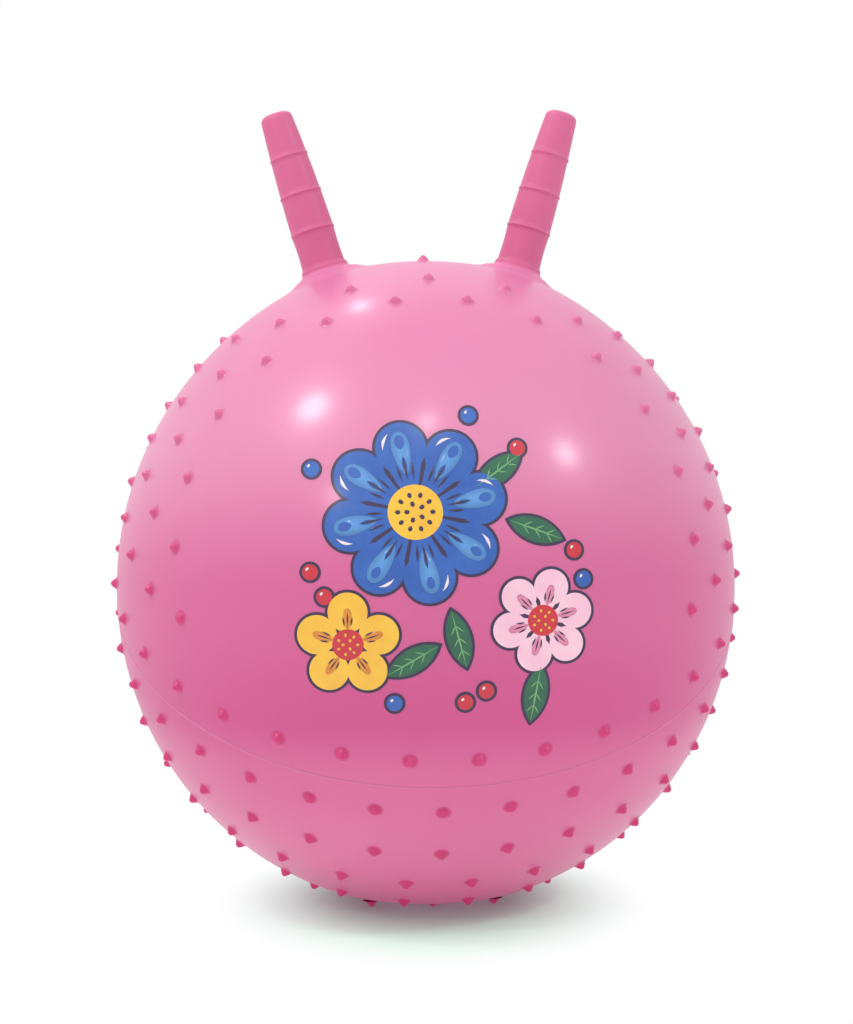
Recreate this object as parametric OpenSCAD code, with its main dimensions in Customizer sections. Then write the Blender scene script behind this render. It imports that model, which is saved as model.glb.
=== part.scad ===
// Hopper ball: an air-filled ball with two horn grips, raised bumps and a rear valve.
// The origin is on the floor under the middle of the ball. +Z runs up between the
// horns, +X towards the right horn, and the print faces -Y.

/* [Ball] */
// Width of the ball
ball_width = 450; // [380:5:600]
// Height of the ball without its horns
ball_height = 466; // [390:5:620]
// Thickness of the ball's skin
skin_wall = 1.2; // [0.9:0.1:2.5]
// Lean of the mould's axis from upright, towards the print
mould_lean = 33; // [28:1:38]
// Radius of the patch that the ball's own weight flattens
rest_radius = 56; // [40:1:70]
// Width of the raised line that the mould's joint leaves
parting_line_width = 1.4; // [0.8:0.1:3]
// Height of that line above the skin
parting_line_height = 0.3; // [0.2:0.1:1]

/* [Bumps] */
// Rows of bumps below the parting line
bump_rows = 8; // [7:1:9]
// Bumps that would fit round the ball at the parting line
bumps_round = 32; // [28:1:36]
// Rings of bumps round the print, above the row that follows the parting line
bump_rings = 10; // [9:1:11]
// Bumps that would fit in each ring
ring_bumps = 23; // [20:1:25]
// Height of a bump above the skin
bump_height = 4.4; // [3.6:0.1:6]
// Radius of a bump's spread foot
bump_foot_radius = 6.6; // [5:0.1:8]
// Radius of a bump's round tip
bump_tip_radius = 2.5; // [1.6:0.1:3]
// How far the floor presses into the bumps that carry the ball
bump_press = 0.3; // [0.2:0.1:0.8]
// Rise of the rings' axis above level, at the front
ring_axis_rise = 8.5; // [4:0.5:12]
// Angle between that axis and the first ring
first_ring_angle = 50.5; // [48:0.5:54]
// Radius of the smooth area round each horn
horn_area_radius = 69.5; // [52:0.5:80]

/* [Horns] */
// Lean of each horn from upright
horn_lean = 17; // [12:1:25]
// Length of a horn from its foot ring to its end
horn_length = 118; // [90:1:150]
// Radius of a horn at its foot ring
horn_foot_radius = 16.2; // [14:0.1:19]
// Radius of a horn at its end
horn_tip_radius = 11.8; // [9:0.1:13]
// Radius of the rounding at the horn's end
horn_end_rounding = 4.5; // [2:0.1:6]
// How much the horn narrows just above its foot ring
horn_waist_depth = 0.6; // [0:0.1:1.2]
// Thickness of the horn's wall
horn_wall = 2; // [1.5:0.1:3]
// Height of the foot ring above the ball's skin
horn_ring_height = 11.6; // [9:0.1:18]
// Radius where the horn's flared foot meets the ball
flare_radius = 33; // [28:0.5:42]
// Grip ribs round each horn
grip_ribs = 3; // [0:1:6]
// Radius of a grip rib's rounded section
grip_rib_radius = 0.8; // [0.5:0.1:1.5]
// Radius of the foot ring's rounded section
foot_ring_radius = 1.1; // [0.6:0.1:2]

/* [Valve] */
// Radius of the plug's head
plug_head_radius = 7; // [5:0.1:9]
// Thickness of the plug's head
plug_head_thickness = 2.2; // [1.5:0.1:3]
// Radius of the plug's stem
plug_stem_radius = 3.95; // [3:0.05:4.5]
// Length of the plug's stem below its head
plug_stem_length = 13; // [8:0.5:18]
// Radial clearance between the plug and its seat
plug_clearance = 0.05; // [0.02:0.01:0.1]
// Radius of the seat's rim, seen round the plug
seat_rim_radius = 10; // [9:0.1:13]
// Radius of the seat's flange inside the skin
seat_flange_radius = 17; // [15:0.5:22]
// Thickness of that flange
seat_flange_thickness = 2; // [1.5:0.1:3]
// Radius of the seat's body round the stem
seat_body_radius = 8; // [7:0.1:9]
// Depth of the seat below the skin's outer face
seat_depth = 13; // [9:0.5:18]

/* [Print] */
// Height of the print's middle above the ball's middle
print_rise = 16; // [0:1:30]
// Thickness of the printed colour, as modelled
ink_thickness = 0.25; // [0.15:0.05:0.5]
// Width of the dark outlines
outline_width = 1.8; // [1:0.1:3]
// Reach of the large flower from its middle
large_flower_reach = 58; // [45:1:65]
// Reach of the small flowers from their middles
small_flower_reach = 33; // [25:1:38]
// Length of a leaf
leaf_length = 44; // [30:1:50]
// Radius of a printed dot
dot_radius = 5; // [3:0.5:7]

/* [Hidden] */
$fn = 96;

half_width = ball_width / 2;
half_height = ball_height / 2;
reach = ball_width + ball_height;
// Level of the flattened patch, from the ball's middle, and of the floor under its bumps
flat_level = -half_height * sqrt(1 - (rest_radius / half_width) ^ 2);
floor_level = flat_level - bump_height + bump_press;

// Steps along a bump's foot and tip, a horn's side between ribs, a rib, the flared
// foot and the rounded end
bump_steps = 3;
span_steps = 2;
rib_steps = 4;
flare_steps = 6;
round_steps = 4;
// Radius of a bump's neck, as a share of its tip's, and where its tip turns flat
bump_neck_share = 1.35;
tip_end = 90 * bump_steps / (bump_steps + 1);
// The horn narrows over this share of its length, above the foot ring
waist_share = 0.24;
// Slant of the flared foot where it meets the skin, and how deep it runs under the skin
// before it is cut to it
flare_end = 66;
flare_sink = 1;

// Places of the bumps in each row, from the parting line out: 0 has one in the
// middle of the front and 0.5 a gap there
upper_start_share = 0.5;
lower_start_shares = [0, 0, 0.5, 0.5, 0, 0.5, 0, 0.5, 0];
// Space kept free of bumps round the valve
bump_gap = 4;
// Clearance between the skin and the raised details that lie on it
seating_clearance = 0.02;

// Directions in the ball, from the mould's axis and its front
mould_axis = [0, -sin(mould_lean), cos(mould_lean)];
mould_front = [0, -cos(mould_lean), -sin(mould_lean)];
side = [1, 0, 0];
ring_axis = [0, -cos(ring_axis_rise), sin(ring_axis_rise)];
ring_top = [0, sin(ring_axis_rise), cos(ring_axis_rise)];
function mould_way(lat, lon) =
    cos(lat) * (cos(lon) * mould_front + sin(lon) * side) + sin(lat) * mould_axis;
function horn_way(hand) = [hand * sin(horn_lean), 0, cos(horn_lean)];

// The skin is an ellipsoid that is round about Z, with its underside flattened
function skin_point(way) =
    let (p = way / norm([way.x / half_width, way.y / half_width, way.z / half_height]))
    [p.x, p.y, max(p.z, flat_level)];
function skin_normal(point) =
    let (n = [point.x / half_width ^ 2, point.y / half_width ^ 2, point.z / half_height ^ 2])
    point.z > flat_level ? n / norm(n) : [0, 0, -1];
function angle_between(a, b) = acos(a * b);
function arc_angle(length) = length / half_width * 180 / PI;
// How far the skin falls away at a distance from a point on it
function skin_drop(distance) = distance ^ 2 / ball_width;

// Bump directions. Below the parting line they lie in rows that follow it, and so do
// the first ones above it. The others lie in evenly spaced rings round the print, and
// that row follows on from the last of them at the back.
row_step = 90 / (bump_rows + 0.5);
function row_lat(row) = (row + 0.5) * row_step;
// The valve is at the back, midway between the second and third rows below the line
valve_way = mould_way(-2 * row_step, 180);
function row_count(row) = round(bumps_round * cos(row_lat(row)));
function row_ways(row, half_sign, start_share) =
    [for (i = [0 : row_count(row) - 1])
        mould_way(half_sign * row_lat(row), (i + start_share) * 360 / row_count(row))];
ring_step = (180 - mould_lean - row_lat(0) - ring_axis_rise - first_ring_angle) / bump_rings;
function ring_ways(ring) =
    let (angle = first_ring_angle + ring * ring_step, shift_share = ring % 2 == 0 ? 0.5 : 0)
    [for (i = [0 : ring_bumps - 1]) let (turn = (i + shift_share) * 360 / ring_bumps)
        sin(angle) * (sin(turn) * side + cos(turn) * ring_top) + cos(angle) * ring_axis];
function clear_of_horns(way) =
    min([for (hand = [-1, 1]) angle_between(way, horn_way(hand))])
    > arc_angle(horn_area_radius);
function clear_of_valve(way) =
    angle_between(way, valve_way) > arc_angle(seat_rim_radius + bump_foot_radius + bump_gap);
upper_bumps = concat(
    row_ways(0, 1, upper_start_share),
    [for (ring = [0 : bump_rings - 1])
        for (way = ring_ways(ring))
            if (way * mould_axis > sin(row_step) && clear_of_horns(way)) way]);
lower_bumps = [for (row = [0 : bump_rows - 1])
    for (way = row_ways(row, -1, lower_start_shares[row]))
        if (clear_of_valve(way)) way];

function bump_tip(way) =
    let (p = skin_point(way)) p + bump_height * skin_normal(p);
pressed_bumps = [for (way = lower_bumps) if (bump_tip(way).z < floor_level) way];
echo(bumps = len(upper_bumps) + len(lower_bumps), pressed = len(pressed_bumps));

module standing() {
    translate([0, 0, -floor_level]) children();
}

// Places its children on the skin, with +Z along the skin's outward normal
module on_skin(way) {
    point = skin_point(way);
    normal = skin_normal(point);
    translate(point)
        rotate([0, acos(normal.z), atan2(normal.y, normal.x)])
            children();
}

// The ball's shape, grown or shrunk by an even thickness
module ball_solid(grow = 0) {
    rotate_extrude()
        intersection() {
            scale([half_width + grow, half_height + grow]) circle(r = 1);
            translate([0, flat_level - grow]) square([reach, 2 * reach]);
        }
}

// The sphere that matches the skin's curve at one place
module skin_sphere(way) {
    point = skin_point(way);
    radius = norm([point.x, point.y, point.z * (half_width / half_height) ^ 2]);
    translate(point - radius * skin_normal(point)) sphere(r = radius);
}

// The half space above or below the mould's parting plane
module mould_side(half_sign) {
    rotate([mould_lean, 0, 0])
        translate([-reach, -reach, half_sign > 0 ? 0 : -2 * reach])
            cube([2 * reach, 2 * reach, 2 * reach]);
}

module above_floor() {
    translate([-reach, -reach, floor_level]) cube([2 * reach, 2 * reach, 2 * reach]);
}

// One bump: a spread foot that sweeps in to a rounded tip
module bump() {
    tip_centre = bump_height - bump_tip_radius;
    neck_radius = bump_tip_radius * bump_neck_share;
    foot = [for (i = [0 : bump_steps]) let (a = 90 * i / bump_steps)
        [bump_foot_radius + (neck_radius - bump_foot_radius) * sin(a),
         seating_clearance + (tip_centre - seating_clearance) * (1 - cos(a))]];
    tip = [for (i = [1 : bump_steps]) let (a = 90 * i / (bump_steps + 1))
        [bump_tip_radius * cos(a), tip_centre + bump_tip_radius * sin(a) / sin(tip_end)]];
    rotate_extrude($fn = 32)
        polygon(concat([[0, seating_clearance]], foot, tip, [[0, bump_height]]));
}

// A horn's radius at a share of the way from its foot ring to its rounded end
function horn_radius(share) =
    horn_foot_radius - (horn_foot_radius - horn_tip_radius) * share ^ 2
    - (share < waist_share ? horn_waist_depth * sin(180 * share / waist_share) : 0);
horn_start = norm(skin_point(horn_way(1))) + horn_ring_height;
horn_side = horn_length - horn_end_rounding;

// The outline of a rib's raised section, from its top edge to its lower one
function rib_outline(share, section_radius) =
    [for (i = [0 : rib_steps]) let (a = 180 * i / rib_steps)
        [horn_radius(share) + section_radius * sin(a),
         horn_start + share * horn_side + section_radius * cos(a)]];

// The horn's outline beside its axis, from its end down to its foot ring
function horn_outline(wall) =
    let (tip = horn_tip_radius - horn_end_rounding, corner = horn_end_rounding - wall,
         spans = grip_ribs + 1)
    concat(
        [[0, horn_start + horn_length - wall]],
        [for (i = [0 : round_steps]) let (a = 90 - 90 * i / round_steps)
            [tip + corner * cos(a), horn_start + horn_side + corner * sin(a)]],
        [for (i = [spans - 1 : -1 : 0]) each concat(
            [for (k = [1 : span_steps]) let (share = (i + 1 - k / (span_steps + 1)) / spans)
                [horn_radius(share) - wall, horn_start + share * horn_side]],
            wall > 0 ? [[horn_radius(i / spans) - wall, horn_start + horn_side * i / spans]]
                : rib_outline(i / spans, i == 0 ? foot_ring_radius : grip_rib_radius))]);

// The flared foot sweeps out until it meets the skin at a slant
function flare_outline(wall) =
    let (drop = horn_ring_height + skin_drop(flare_radius) + flare_sink,
         spread = flare_radius - horn_foot_radius)
    [for (i = [1 : flare_steps]) let (a = flare_end * i / flare_steps)
        [horn_foot_radius - wall + spread * (1 - cos(a)) / (1 - cos(flare_end)),
         horn_start - drop * sin(a) / sin(flare_end)]];

module horn_section(wall) {
    outline = concat(horn_outline(wall), flare_outline(wall));
    base = horn_start - 2 * horn_ring_height;
    polygon(concat(outline, [[outline[len(outline) - 1].x, base], [0, base]]));
}

module along_horn(hand) {
    rotate([0, hand * horn_lean, 0]) children();
}

module horn(hand) {
    color([0.86, 0.35, 0.55])
        standing()
            difference() {
                along_horn(hand)
                    rotate_extrude()
                        difference() {
                            horn_section(0);
                            horn_section(horn_wall);
                        }
                skin_sphere(horn_way(hand));
            }
}

module horn_holes() {
    for (hand = [-1, 1])
        along_horn(hand)
            cylinder(r = flare_radius - 3 * horn_wall, h = reach);
}

module skin_half(half_sign) {
    intersection() {
        difference() {
            ball_solid();
            ball_solid(-skin_wall);
        }
        mould_side(half_sign);
    }
}

module upper_skin() {
    color([0.93, 0.51, 0.71])
        standing()
            difference() {
                skin_half(1);
                horn_holes();
            }
}

module lower_skin() {
    color([0.88, 0.42, 0.63])
        standing()
            difference() {
                skin_half(-1);
                on_skin(valve_way)
                    cylinder(r = seat_rim_radius, h = 2 * seat_depth, center = true);
            }
}

module upper_bumps() {
    color([0.85, 0.36, 0.57])
        standing()
            for (way = upper_bumps) on_skin(way) bump();
}

// The floor flattens the bumps that it presses into
module lower_bumps() {
    color([0.78, 0.28, 0.47])
        standing()
            for (way = lower_bumps)
                if (bump_tip(way).z > floor_level)
                    on_skin(way) bump();
                else
                    intersection() {
                        on_skin(way) bump();
                        above_floor();
                    }
}

module parting_line() {
    color([0.8, 0.33, 0.53])
        standing()
            difference() {
                intersection() {
                    ball_solid(parting_line_height);
                    rotate([mould_lean, 0, 0])
                        cube([2 * reach, 2 * reach, parting_line_width], center = true);
                }
                ball_solid(seating_clearance);
            }
}

module left_horn() {
    horn(-1);
}

module right_horn() {
    horn(1);
}

// The seat is bonded inside the skin, and its rim fills the hole in it
module valve_seat() {
    head_room = plug_head_thickness + 3 * plug_clearance;
    head_bore = plug_head_radius + plug_clearance;
    stem_bore = plug_stem_radius + plug_clearance;
    color([0.84, 0.4, 0.6])
        standing()
            on_skin(valve_way)
                rotate_extrude()
                    polygon([
                        [stem_bore, -seat_depth],
                        [seat_body_radius, -seat_depth],
                        [seat_body_radius, -skin_wall - 2 * seat_flange_thickness],
                        [seat_flange_radius, -skin_wall - seat_flange_thickness],
                        [seat_flange_radius, -skin_wall - skin_drop(seat_flange_radius)],
                        [seat_rim_radius, -skin_wall - skin_drop(seat_rim_radius)],
                        [seat_rim_radius, -skin_drop(seat_rim_radius)],
                        [head_bore, -skin_drop(head_bore)],
                        [head_bore, -head_room],
                        [stem_bore, -head_room]]);
}

module valve_plug() {
    head_floor = -plug_head_thickness - 2 * plug_clearance;
    edge = plug_head_thickness / 4;
    point = plug_stem_radius / 3;
    color([0.96, 0.95, 0.93])
        standing()
            on_skin(valve_way)
                translate([0, 0, head_floor])
                    rotate_extrude()
                        polygon([
                            [0, -plug_stem_length],
                            [plug_stem_radius - point, -plug_stem_length],
                            [plug_stem_radius, -plug_stem_length + 2 * point],
                            [plug_stem_radius, 0],
                            [plug_head_radius, 0],
                            [plug_head_radius, plug_head_thickness - edge],
                            [plug_head_radius - edge, plug_head_thickness],
                            [0, plug_head_thickness]]);
}

// The print is flat artwork, laid on the skin from the front. Places are shares of the
// large flower's reach, from the print's middle.
large_flower_shares = [-0.3, 0.66];
pink_flower_shares = [1.08, -0.54];
yellow_flower_shares = [-1.05, -0.77];
leaf_shares = [[0.62, 1.1], [1.02, 0.45], [0.15, -0.72], [-0.35, -0.95], [1.0, -1.35]];
leaf_turns = [35, -20, -75, -150, -100];
red_dot_shares = [
    [-1.3, -0.25], [-1.45, 0.02], [1.45, 0.22], [0.45, -1.3], [0.22, -1.42], [0.85, 1.35]];
blue_dot_shares = [[-1.42, 1.15], [1.55, -0.1], [-0.55, -1.42], [0.32, 1.72]];
large_flower_at = large_flower_shares * large_flower_reach;
pink_flower_at = pink_flower_shares * large_flower_reach;
yellow_flower_at = yellow_flower_shares * large_flower_reach;

// Petals of each flower, and the radius of their round ends as a share of its reach
large_petals = 8;
pink_petals = 6;
yellow_petals = 5;
large_petal_share = 0.28;
pink_petal_share = 0.34;
yellow_petal_share = 0.38;
// How far the first petal is turned, as a share of the step between petals
petal_turn_share = 0.25;
// Radius of a flower's heart, as a share of its reach
heart_share = 0.3;
// Radius of a leaf's two bowed sides and half its width, as shares of its length
leaf_bow_share = 0.62;
leaf_width_share = 0.17;

// A round-ended petal that points along +X, with a margin for its outline
module petal(reach_out, radius, margin) {
    centre = reach_out - radius;
    half = margin + radius * cos(asin(radius / centre));
    translate([centre, 0]) circle(r = radius + margin, $fn = 64);
    polygon([[0, -margin], [centre, -half], [centre, half], [0, margin]]);
}

module petals(count, reach_out, radius, margin = 0) {
    for (i = [0 : count - 1])
        rotate(360 * (i + petal_turn_share) / count) petal(reach_out, radius, margin);
}

module flower_heart(reach_out, margin = 0) {
    circle(r = reach_out * heart_share + margin, $fn = 64);
}

module leaf(margin = 0) {
    bow = leaf_length * leaf_bow_share;
    lift = bow - leaf_length * leaf_width_share;
    intersection() {
        translate([0, lift]) circle(r = bow + margin, $fn = 96);
        translate([0, -lift]) circle(r = bow + margin, $fn = 96);
    }
}

module dots(place_shares, margin = 0) {
    for (place = place_shares)
        translate(place * large_flower_reach) circle(r = dot_radius + margin, $fn = 48);
}

module blue_art(margin = 0) {
    translate(large_flower_at)
        petals(large_petals, large_flower_reach, large_flower_reach * large_petal_share, margin);
    dots(blue_dot_shares, margin);
}

module pink_art(margin = 0) {
    translate(pink_flower_at)
        petals(pink_petals, small_flower_reach, small_flower_reach * pink_petal_share, margin);
}

module yellow_art(margin = 0) {
    translate(yellow_flower_at)
        petals(yellow_petals, small_flower_reach, small_flower_reach * yellow_petal_share,
            margin);
    translate(large_flower_at) flower_heart(large_flower_reach, margin);
}

module red_art(margin = 0) {
    translate(pink_flower_at) flower_heart(small_flower_reach, margin);
    translate(yellow_flower_at) flower_heart(small_flower_reach, margin);
    dots(red_dot_shares, margin);
}

module green_art(margin = 0) {
    for (i = [0 : len(leaf_shares) - 1])
        translate(leaf_shares[i] * large_flower_reach) rotate(leaf_turns[i]) leaf(margin);
}

// Lays flat artwork on the front of the skin as a film. The colours go on in the order
// green, blue, pink, yellow, red, and each is left out where a later one comes.
module printed() {
    standing()
        intersection() {
            difference() {
                ball_solid(ink_thickness);
                ball_solid();
            }
            translate([0, 0, print_rise]) rotate([90, 0, 0]) linear_extrude(reach) children();
        }
}

module print_outlines() {
    color([0.16, 0.1, 0.25])
        printed()
            difference() {
                union() {
                    green_art(outline_width);
                    blue_art(outline_width);
                    pink_art(outline_width);
                    yellow_art(outline_width);
                    red_art(outline_width);
                }
                green_art();
                blue_art();
                pink_art();
                yellow_art();
                red_art();
            }
}

module print_blue() {
    color([0.2, 0.4, 0.75])
        printed()
            difference() {
                blue_art();
                pink_art();
                yellow_art();
                red_art();
            }
}

module print_pink() {
    color([0.98, 0.78, 0.85])
        printed()
            difference() {
                pink_art();
                yellow_art();
                red_art();
            }
}

module print_yellow() {
    color([0.96, 0.74, 0.2])
        printed()
            difference() {
                yellow_art();
                red_art();
            }
}

module print_red() {
    color([0.82, 0.13, 0.2])
        printed() red_art();
}

module print_green() {
    color([0.13, 0.42, 0.28])
        printed()
            difference() {
                green_art();
                blue_art();
                pink_art();
                yellow_art();
                red_art();
            }
}

upper_skin();
lower_skin();
parting_line();
upper_bumps();
lower_bumps();
left_horn();
right_horn();
valve_seat();
valve_plug();
print_outlines();
print_blue();
print_pink();
print_yellow();
print_red();
print_green();
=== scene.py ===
"""The looks of the hopper ball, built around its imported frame, in metres."""
import logging
import math
from collections.abc import Iterable
from dataclasses import dataclass, field
from enum import Enum

import bmesh
import bpy
from mathutils import Euler, Matrix, Vector


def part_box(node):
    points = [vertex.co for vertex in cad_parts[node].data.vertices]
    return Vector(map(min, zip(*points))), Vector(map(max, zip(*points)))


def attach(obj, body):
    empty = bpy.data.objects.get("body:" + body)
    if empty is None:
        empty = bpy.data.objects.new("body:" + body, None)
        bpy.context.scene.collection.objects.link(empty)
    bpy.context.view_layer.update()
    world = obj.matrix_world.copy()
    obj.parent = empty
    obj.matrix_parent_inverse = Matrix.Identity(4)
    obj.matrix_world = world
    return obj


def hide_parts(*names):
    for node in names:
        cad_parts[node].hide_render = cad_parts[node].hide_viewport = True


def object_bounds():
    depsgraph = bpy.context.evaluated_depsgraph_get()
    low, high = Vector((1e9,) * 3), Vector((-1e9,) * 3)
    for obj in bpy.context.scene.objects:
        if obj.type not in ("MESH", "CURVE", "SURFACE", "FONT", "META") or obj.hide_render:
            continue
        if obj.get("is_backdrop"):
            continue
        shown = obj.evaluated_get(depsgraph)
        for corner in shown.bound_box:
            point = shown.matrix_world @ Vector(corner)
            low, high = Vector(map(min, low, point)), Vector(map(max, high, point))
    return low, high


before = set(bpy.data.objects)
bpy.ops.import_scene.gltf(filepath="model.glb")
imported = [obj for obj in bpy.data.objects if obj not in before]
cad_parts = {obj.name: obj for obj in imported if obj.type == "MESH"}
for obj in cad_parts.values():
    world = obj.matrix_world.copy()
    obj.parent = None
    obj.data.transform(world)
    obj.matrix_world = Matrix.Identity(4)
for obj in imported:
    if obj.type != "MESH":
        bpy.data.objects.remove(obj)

MM = 0.001
CAD_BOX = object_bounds()
LOG = logging.getLogger("hopper_ball")
UP = Vector((0.0, 0.0, 1.0))
SIDE = Vector((1.0, 0.0, 0.0))
FRONT = Vector((0.0, -1.0, 0.0))
NUMBER = "NodeSocketFloat"
VECTOR = "NodeSocketVector"
RGB = tuple[int, int, int]
Tones = tuple[tuple[float, RGB], ...]


class Half(Enum):
    """The two halves of the moulding, on either side of its parting line."""

    UPPER = 1
    LOWER = -1


class Hand(Enum):
    """The two horns, as the ball is seen from its front."""

    LEFT = -1
    RIGHT = 1


class Body(Enum):
    """The bodies that pieces ride on."""

    BALL = "ball"
    PLUG = "plug"


def linear(red: int, green: int, blue: int) -> tuple[float, float, float, float]:
    """Turns a colour as written, 0 to 255, into the shader's linear values.

    Args:
        red: The red part.
        green: The green part.
        blue: The blue part.

    Returns:
        The linear colour, with full alpha.
    """
    def one(part: int) -> float:
        """Turns one part."""
        share = part / 255
        return share / 12.92 if share <= 0.04045 else ((share + 0.055) / 1.055) ** 2.4

    return one(red), one(green), one(blue), 1.0


def eased(share: float) -> float:
    """Eases a share between 0 and 1, level at both ends.

    Args:
        share: The share, which may run past either end.

    Returns:
        The eased share, from 0 to 1.
    """
    kept = min(max(share, 0.0), 1.0)
    return kept * kept * (3 - 2 * kept)


def heading(turn: float) -> Vector:
    """Gives the flat direction of an angle."""
    return Vector((math.cos(turn), math.sin(turn), 0))


@dataclass(frozen=True)
class BallShape:
    """The blown-up ball: an ellipsoid that is round about Z, flattened underneath.

    The frame gives its width, its top and its flattened patch.
    """

    half_width: float
    half_height: float
    middle: float
    flat: float
    mould_lean: float = math.radians(33)
    bump_rows: int = 8
    horn_lean: float = math.radians(17)
    swell_height: float = 4.3 * MM
    swell_reach: float = 75 * MM

    @classmethod
    def from_frame(cls, height: float = 466 * MM) -> "BallShape":
        """Reads the ball's shape from the boxes of its two skins.

        Args:
            height: The ball's height without its horns, as if it weren't flattened.

        Returns:
            The ball's shape.
        """
        _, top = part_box("upper_skin")
        bottom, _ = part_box("lower_skin")
        return cls(top.x, height / 2, top.z - height / 2, bottom.z)

    @property
    def flat_radius(self) -> float:
        """The radius of the flattened patch underneath."""
        drop = 1 - ((self.flat - self.middle) / self.half_height) ** 2
        return self.half_width * math.sqrt(drop)

    @property
    def row_step(self) -> float:
        """The angle between two rows of bumps."""
        return math.radians(90) / (self.bump_rows + 0.5)

    @property
    def valve_way(self) -> Vector:
        """The direction of the valve, two rows of bumps below the parting line."""
        return self.mould_way(-2 * self.row_step, math.pi)

    @property
    def mould_axis(self) -> Vector:
        """The axis of the mould, which leans towards the print."""
        return Vector((0, -math.sin(self.mould_lean), math.cos(self.mould_lean)))

    @property
    def mould_front(self) -> Vector:
        """The direction in the parting plane that lies nearest the front."""
        return Vector((0, -math.cos(self.mould_lean), -math.sin(self.mould_lean)))

    def mould_way(self, latitude: float, longitude: float) -> Vector:
        """Gives a direction from angles about the mould's axis.

        Args:
            latitude: The angle above the parting plane.
            longitude: The angle round the axis, from the front.

        Returns:
            The direction, of length 1.
        """
        around = math.cos(longitude) * self.mould_front + math.sin(longitude) * SIDE
        return math.cos(latitude) * around + math.sin(latitude) * self.mould_axis

    def horn_way(self, hand: Hand) -> Vector:
        """The direction of a horn's axis."""
        return Vector((hand.value * math.sin(self.horn_lean), 0, math.cos(self.horn_lean)))

    def plain_point(self, way: Vector) -> Vector:
        """Gives the point of the plain ellipsoid in a direction from the ball's middle.

        Args:
            way: The direction.

        Returns:
            The point, from the ball's middle.
        """
        scaled = Vector((way.x / self.half_width, way.y / self.half_width,
                         way.z / self.half_height))
        return way / scaled.length

    def skin_point(self, way: Vector) -> Vector:
        """Gives the point of the skin in a direction, with its swell round the horns.

        Args:
            way: The direction from the ball's middle.

        Returns:
            The point, in the part's frame.
        """
        point = self.plain_point(way)
        swell = 0.0
        for hand in Hand:
            axis = self.horn_way(hand)
            if point.dot(axis) > 0:
                apart = (point - point.dot(axis) * axis).length
                swell += self.swell_height * math.exp(-(apart / self.swell_reach) ** 2)
        point += swell * way.normalized()
        return Vector((point.x, point.y, max(point.z + self.middle, self.flat)))

    def skin_normal(self, point: Vector) -> Vector:
        """Gives the outward normal at a point of the skin.

        Args:
            point: The point, in the part's frame.

        Returns:
            The normal, of length 1.
        """
        if point.z <= self.flat:
            return -UP
        slope = Vector((point.x / self.half_width ** 2, point.y / self.half_width ** 2,
                        (point.z - self.middle) / self.half_height ** 2))
        return slope.normalized()

    def front_point(self, across: float, level: float, lift: float) -> Vector:
        """Lays a point of flat artwork on the front of the skin.

        Args:
            across: The point's place along X.
            level: Its height above the ball's middle.
            lift: How far it stands above the skin.

        Returns:
            The point, in the part's frame.
        """
        share = 1 - (across / self.half_width) ** 2 - (level / self.half_height) ** 2
        point = Vector((across, -self.half_width * math.sqrt(share), level + self.middle))
        return point + lift * self.skin_normal(point)

    def arc_angle(self, length: float) -> float:
        """Gives the angle that a length along the skin takes up at the middle."""
        return length / self.half_width


# Shader node groups, each built once


def new_group(name: str, numbers: dict[str, float],
              outputs: dict[str, str]) -> bpy.types.NodeTree:
    """Starts a shader node group, which takes a place and any number of numbers.

    Args:
        name: The group's name.
        numbers: Each number's name, with its default.
        outputs: Each output's name, with its socket type.

    Returns:
        The group, which holds its input and output nodes.
    """
    group = bpy.data.node_groups.new(name, "ShaderNodeTree")
    group.interface.new_socket("Place", in_out="INPUT", socket_type=VECTOR)
    for label, default in numbers.items():
        socket = group.interface.new_socket(label, in_out="INPUT", socket_type=NUMBER)
        socket.default_value = default
    for label, kind in outputs.items():
        group.interface.new_socket(label, in_out="OUTPUT", socket_type=kind)
    group.nodes.new("NodeGroupInput").name = "in"
    group.nodes.new("NodeGroupOutput").name = "out"
    return group


def add_math(tree: bpy.types.NodeTree, operation: str, first: object,
             second: object) -> bpy.types.NodeSocket:
    """Adds a Math node, whose inputs are sockets or numbers.

    Args:
        tree: The tree that takes the node.
        operation: The node's operation.
        first: The first value.
        second: The second value.

    Returns:
        The node's output.
    """
    node = tree.nodes.new("ShaderNodeMath")
    node.operation = operation
    for socket, value in zip(node.inputs, (first, second)):
        if isinstance(value, bpy.types.NodeSocket):
            tree.links.new(value, socket)
        else:
            socket.default_value = value
    return node.outputs[0]


def add_vector_math(tree: bpy.types.NodeTree, operation: str,
                    first: bpy.types.NodeSocket,
                    second: tuple[float, float, float] | None = None) -> bpy.types.Node:
    """Adds a Vector Math node.

    Args:
        tree: The tree that takes the node.
        operation: The node's operation.
        first: The socket that gives the first vector.
        second: The second vector, if the operation takes one.

    Returns:
        The node.
    """
    node = tree.nodes.new("ShaderNodeVectorMath")
    node.operation = operation
    tree.links.new(first, node.inputs[0])
    if second is not None:
        node.inputs[1].default_value = second
    return node


def add_ramp(tree: bpy.types.NodeTree, value: bpy.types.NodeSocket,
             levels: tuple[float, float]) -> bpy.types.NodeSocket:
    """Turns a value between two levels into a smooth share from 0 to 1.

    Args:
        tree: The tree that takes the node.
        value: The value.
        levels: The level that gives 0, and the level that gives 1.

    Returns:
        The share.
    """
    node = tree.nodes.new("ShaderNodeMapRange")
    node.interpolation_type = "SMOOTHSTEP"
    node.inputs["From Min"].default_value = levels[0]
    node.inputs["From Max"].default_value = levels[1]
    tree.links.new(value, node.inputs["Value"])
    return node.outputs[0]


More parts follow.
